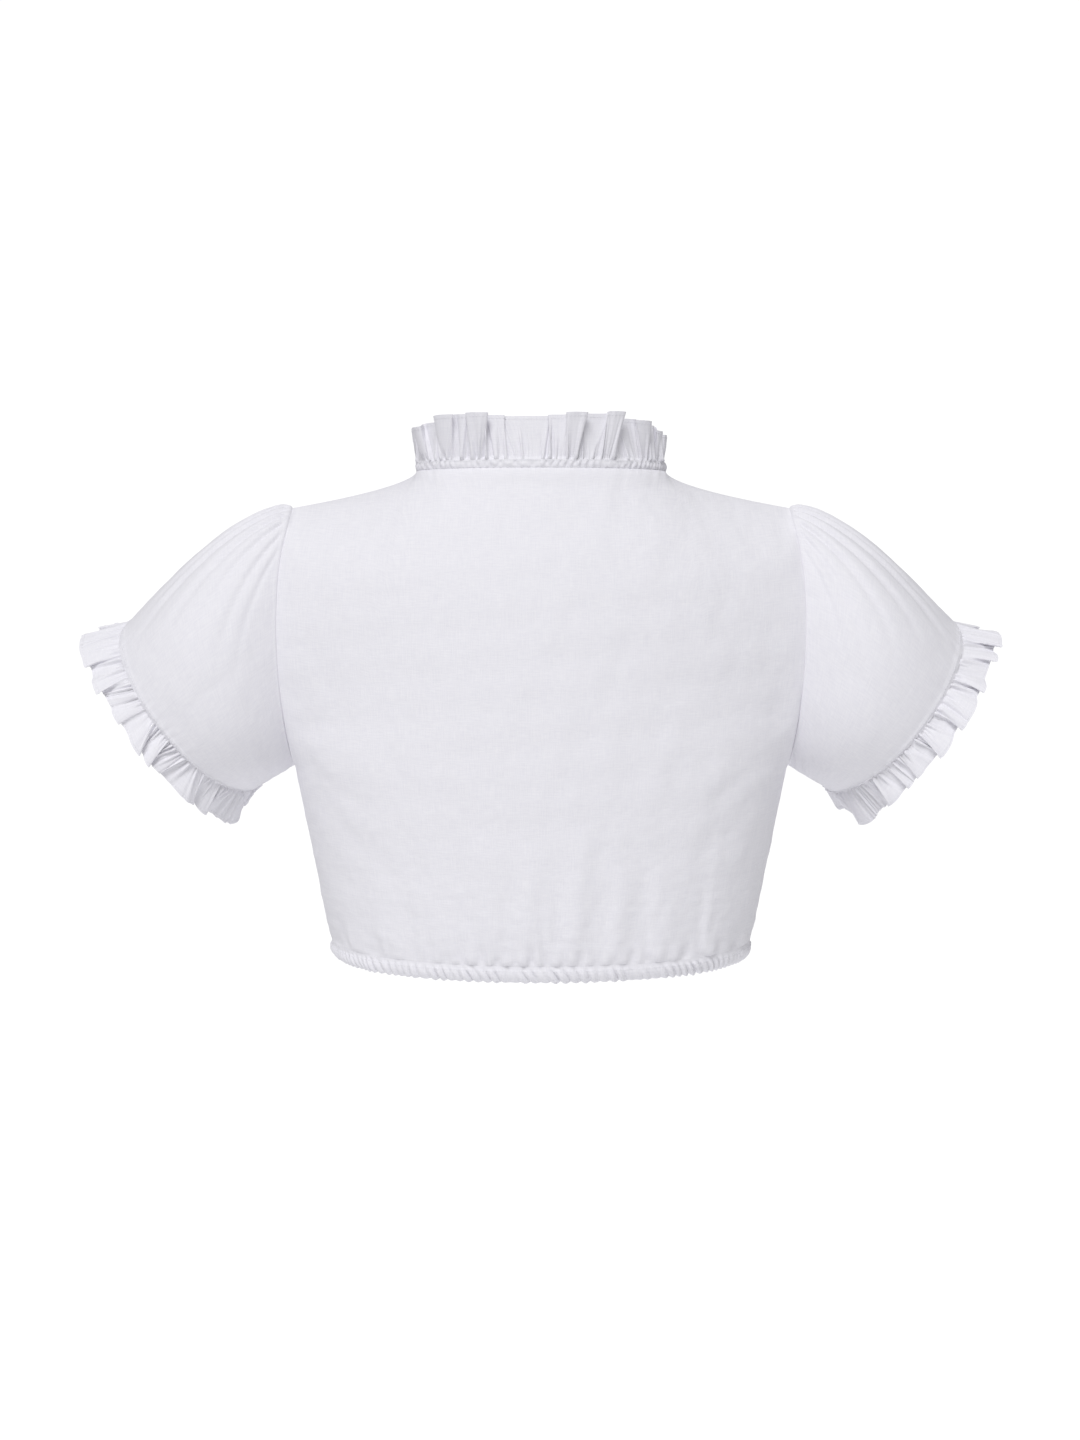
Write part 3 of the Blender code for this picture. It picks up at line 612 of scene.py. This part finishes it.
def cuffRuffle(side, waves, isLeft, seed):
    count = 960
    degrees = np.arange(count) * 360.0 / count
    v = (np.linspace(0, 1, 25) ** 0.9)[:, None]
    out, rise, swing = foldsAt(degrees, waves, ruffleLook["cuffLean"], ruffleLook["cuffOmega"])
    slant = ruffleLook["cuffSlant"] * slantLines(degrees, seed + 5)
    turn = np.radians(degrees[None, :] + v ** 1.2 * swing[None, :] + v * slant)
    base, outward = sleeveEnd(turn)
    flare = ruffleLook["cuffFlare"] - ruffleLook["cuffFlareChange"] * np.cos(turn)
    length = (ruffleLook["cuffLength"] + rise)[None, :] * v
    gather = gatherLines(degrees, 0.078, v, seed, 0.0036, 0.0021, 1.5)
    aside = length * np.sin(flare) + 0.78 * out[None, :] * v ** 0.8 + gather
    ahead = form["seamGap"] + length * np.cos(flare)
    points = base + armDirection() * ahead[..., None] + outward * aside[..., None]
    u = np.arange(count + 1) * 0.85 / count
    uv = np.stack(np.broadcast_arrays(u[None, :], v * 0.03), axis=-1)
    points = sideways(points, isLeft)
    piece = clothMesh(f"cuffRuffleCloth_{side}", points, uv, True, ruffleLook["wall"], cotton)
    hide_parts(f"cuff_ruffle_{side}")
    return piece, points


def neckPoints(degrees):
    # the neckline round from the centre back towards the wearer's left
    turn = np.radians(degrees)
    x = form["neckHalf"] * np.sin(turn)
    isBack = np.cos(turn) >= 0
    y = np.where(isBack, form["neckBack"], form["neckFront"]) * np.cos(turn)
    z = np.where(isBack, form["neckRise"], form["neckScoop"]) * np.cos(turn)
    return np.stack([x, y, z], axis=-1)


def neckFrames(degrees):
    # counterclockwise from above is towards smaller turns
    run = unitVectors(neckPoints(degrees - 0.5) - neckPoints(degrees + 0.5))
    upright = np.array([0.0, 0.0, 1.0])
    stand = unitVectors(upright - (run @ upright)[..., None] * run)
    return stand, np.cross(run, stand)


def neckRuffle(seed):
    count = 1260
    degrees = 360.0 - np.arange(count) * 360.0 / count
    v = (np.linspace(0, 1, 27) ** 0.95)[:, None]
    out, rise, swing = foldsAt(degrees % 360.0, neckWaves, ruffleLook["neckLean"],
                               ruffleLook["omega"])
    turned = degrees[None, :] + v ** 1.2 * swing[None, :]
    turned = turned + v * ruffleLook["neckSlant"] * slantLines(degrees, seed + 5)
    base = neckPoints(turned)
    stand, outward = neckFrames(turned)
    height = 2 * form["cadGap"] + ruffleLook["bandHeight"]
    height = height + (ruffleLook["neckHeight"] + rise)[None, :] * v
    gather = gatherLines(degrees, 0.085, v, seed, 0.0044, 0.0022, 1.15)
    aside = ruffleLook["neckFlare"] * v + out[None, :] * v ** 0.8 + gather
    points = base + stand * height[..., None] + outward * aside[..., None]
    u = np.arange(count + 1) * 1.1 / count
    uv = np.stack(np.broadcast_arrays(u[None, :], v * 0.035), axis=-1)
    piece = clothMesh("neckRuffleCloth", points, uv, True, ruffleLook["wall"], cotton)
    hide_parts("neck_ruffle")
    return piece, points


bandLook = {"wall": 0.0018, "pinch": 0.0007, "pitch": 0.0036}


def neckBand(seed):
    count = 1000
    degrees = 360.0 - np.arange(count) * 360.0 / count
    v = np.linspace(0, 1, 9)[:, None]
    base = neckPoints(degrees)[None]
    stand, outward = neckFrames(degrees)
    run = np.radians(degrees)[None, :] * 0.085
    pinch = crumple(run, v * 0.002, bandLook["pitch"], seed, waves=9)
    bulge = (0.0005 + bandLook["pinch"] * pinch) * np.sin(math.pi * np.clip(v, 0.04, 0.96))
    bandHeight = ruffleLook["bandHeight"] + 2 * (form["cadGap"] - form["seamGap"])
    points = (base + stand[None] * (form["seamGap"] + bandHeight * v)[..., None]
              + outward[None] * bulge[..., None])
    u = np.arange(count + 1) * 0.52 / count
    uv = np.stack(np.broadcast_arrays(u[None, :], v * 0.006), axis=-1)
    piece = clothMesh("neckBandCloth", points, uv, True, bandLook["wall"], cotton)
    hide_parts("neck_band")
    return piece, points


casingLook = {
    "height": 0.0125, "wall": 0.0018, "gathers": 136, "depth": 0.0014, "slant": 0.006,
}


def hemCasing(seed):
    half = 560
    across = np.linspace(-1, 1, half + 1)[:-1]
    front = panelPoints(across, 0 * across, True)[0]
    back = panelPoints(across, 0 * across, False)[0] * np.array([-1.0, 1.0, 1.0])
    loop = np.concatenate([front, back])
    run = unitVectors(np.roll(loop, -1, axis=0) - np.roll(loop, 1, axis=0))
    outward = np.cross(run, np.array([0.0, 0.0, 1.0]))
    place = np.arange(len(loop)) / len(loop)
    v = np.linspace(0, 1, 15)[:, None]
    drift = 0.55 * crumple(place, 0 * place, 0.05, seed, waves=8)[None, :]
    slant = casingLook["slant"] / 0.82 * v * (1 + 0.8 * crumple(place, 0 * place, 0.09, seed + 1))
    phase = 2 * math.pi * (place[None, :] + slant) * casingLook["gathers"] + drift * 2.2
    strength = 0.75 + 0.35 * crumple(place, 0 * place, 0.02, seed + 2, waves=8)[None, :]
    ridge = (np.abs(np.sin(phase / 2)) - 0.5) * 2 * strength * softStep((1 - v) / 0.3)
    swell = np.sin(math.pi * np.clip(v * 1.2 + 0.05, 0, 1)) ** 0.6
    bulge = 0.0006 + 0.0010 * swell + casingLook["depth"] * ridge * (0.35 + 0.65 * swell)
    top = loop[None] - np.array([0, 0, form["seamGap"]])
    drop = (1 - v) * (casingLook["height"] + 0.0008 * ridge)
    points = top + outward[None] * (bulge - 0.0006 - 0.0042 * (1 - v) ** 2)[..., None]
    points[..., 2] -= drop
    u = np.arange(len(loop) + 1) * 1.2 / len(loop)
    uv = np.stack(np.broadcast_arrays(u[None, :], v * 0.0125), axis=-1)
    piece = clothMesh("hemCasingCloth", points, uv, True, casingLook["wall"], cotton)
    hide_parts("hem_casing")
    return piece, points


def rowLine(points, row, lift=0.0):
    # one row of a closed grid as a line for stitches, lifted off the cloth
    normals = gridNormals(points, True)[row]
    line = points[row] + normals * lift
    return np.concatenate([line, line[:1]]), np.concatenate([normals, normals[:1]])


print("panels")
back, backGrid = bodyPanel("backCloth", False, 11)
front, frontGrid = bodyPanel("frontCloth", True, 23)
print("sleeves")
leftSleeve, leftSleeveGrid = sleevePiece("left", True, 31)
rightSleeve, rightSleeveGrid = sleevePiece("right", False, 47)
print("ruffles")
leftRuffle, leftRuffleGrid = cuffRuffle("left", leftCuffWaves, True, 53)
rightRuffle, rightRuffleGrid = cuffRuffle("right", rightCuffWaves, False, 67)
ruffle, ruffleGrid = neckRuffle(71)
print("bands")
band, bandGrid = neckBand(83)
casing, casingGrid = hemCasing(97)
for piece in (back, front, leftSleeve, rightSleeve, leftRuffle, rightRuffle, ruffle, band, casing):
    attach(piece, "root")

print("stitches")
neckStitches = stitchMesh("hemStitches_neck", [rowLine(ruffleGrid, 24, 0.0001)])
leftStitches = stitchMesh("hemStitches_cuff_left", [rowLine(leftRuffleGrid, 22, 0.0001)])
rightStitches = stitchMesh("hemStitches_cuff_right", [rowLine(rightRuffleGrid, 22, 0.0001)])
leftSeam = stitchMesh("seamStitches_cuff_left", [rowLine(leftSleeveGrid, 97, 0.0001)])
rightSeam = stitchMesh("seamStitches_cuff_right", [rowLine(rightSleeveGrid, 97, 0.0001)])
bandSeams = stitchMesh("bandStitches", [rowLine(bandGrid, 1, 0.0001), rowLine(bandGrid, 7, 0.0001)])
casingSeam = stitchMesh("casingStitches", [rowLine(casingGrid, 10, 0.0001)])

# Camera, at the photograph's place behind the blouse
shot = {"distance": 2.5, "elevation": math.radians(4.5), "x": 0.0008, "z": -0.1907,
        "height": 1.1074, "sensor": 24.0}
camera = bpy.data.cameras.new("camera")
camera.sensor_fit = "VERTICAL"
camera.sensor_height = shot["sensor"]
camera.lens = shot["sensor"] * shot["distance"] / shot["height"]
cameraObject = bpy.data.objects.new("camera", camera)
cameraObject.location = (shot["x"], shot["distance"] * math.cos(shot["elevation"]),
                         shot["z"] + shot["distance"] * math.sin(shot["elevation"]))
cameraObject.rotation_euler = (math.pi / 2 - shot["elevation"], 0, math.pi)
bpy.context.scene.collection.objects.link(cameraObject)
bpy.context.scene.camera = cameraObject

# Studio: white surround, soft key from the upper left behind the camera, plain pale floor
studio = {"floorZ": -1.3, "floorSize": 5.0, "surround": 0.42, "background": 1.05,
          "key": 2.05, "keySoftness": math.radians(28), "keyFrom": (0.16, 0.63, 0.75)}
key = bpy.data.lights.new("key", "SUN")
key.energy = studio["key"]
key.angle = studio["keySoftness"]
keyObject = bpy.data.objects.new("key", key)
aimX, aimY, aimZ = studio["keyFrom"]
keyObject.rotation_euler = (math.acos(aimZ / math.hypot(aimX, aimY, aimZ)), 0,
                            math.atan2(aimY, aimX) + math.pi / 2)
bpy.context.scene.collection.objects.link(keyObject)
half = studio["floorSize"] / 2
floorMesh = bpy.data.meshes.new("floor")
floorMesh.from_pydata([(-half, -half, studio["floorZ"]), (half, -half, studio["floorZ"]),
                       (half, half, studio["floorZ"]), (-half, half, studio["floorZ"])],
                      [], [(0, 1, 2, 3)])
floorPaint = bpy.data.materials.new("paleMattPaint")
floorPaint.use_nodes = True
paint = floorPaint.node_tree.nodes["Principled BSDF"]
paint.inputs["Base Color"].default_value = linearColour("FCFCFD")
paint.inputs["Roughness"].default_value = 0.9
paint.inputs["Emission Color"].default_value = (1, 1, 1, 1)
paint.inputs["Emission Strength"].default_value = 0.18  # a lit studio floor, without a light of its own
floorMesh.materials.append(floorPaint)
floor = bpy.data.objects.new("floor", floorMesh)
bpy.context.scene.collection.objects.link(floor)
world = bpy.data.worlds.new("studio")
bpy.context.scene.world = world
world.use_nodes = True
tree = world.node_tree
tree.nodes.clear()
path = addNode(tree, "ShaderNodeLightPath")
strength = addNode(tree, "ShaderNodeMapRange", {
    "To Min": studio["surround"], "To Max": studio["background"]},
    {"Value": path.outputs["Is Camera Ray"]})
surround = addNode(tree, "ShaderNodeBackground", {"Color": (1, 1, 1, 1)},
                   {"Strength": strength.outputs["Result"]})
addNode(tree, "ShaderNodeOutputWorld", None, {"Surface": surround.outputs["Background"]})
bpy.context.scene.view_settings.view_transform = "Standard"
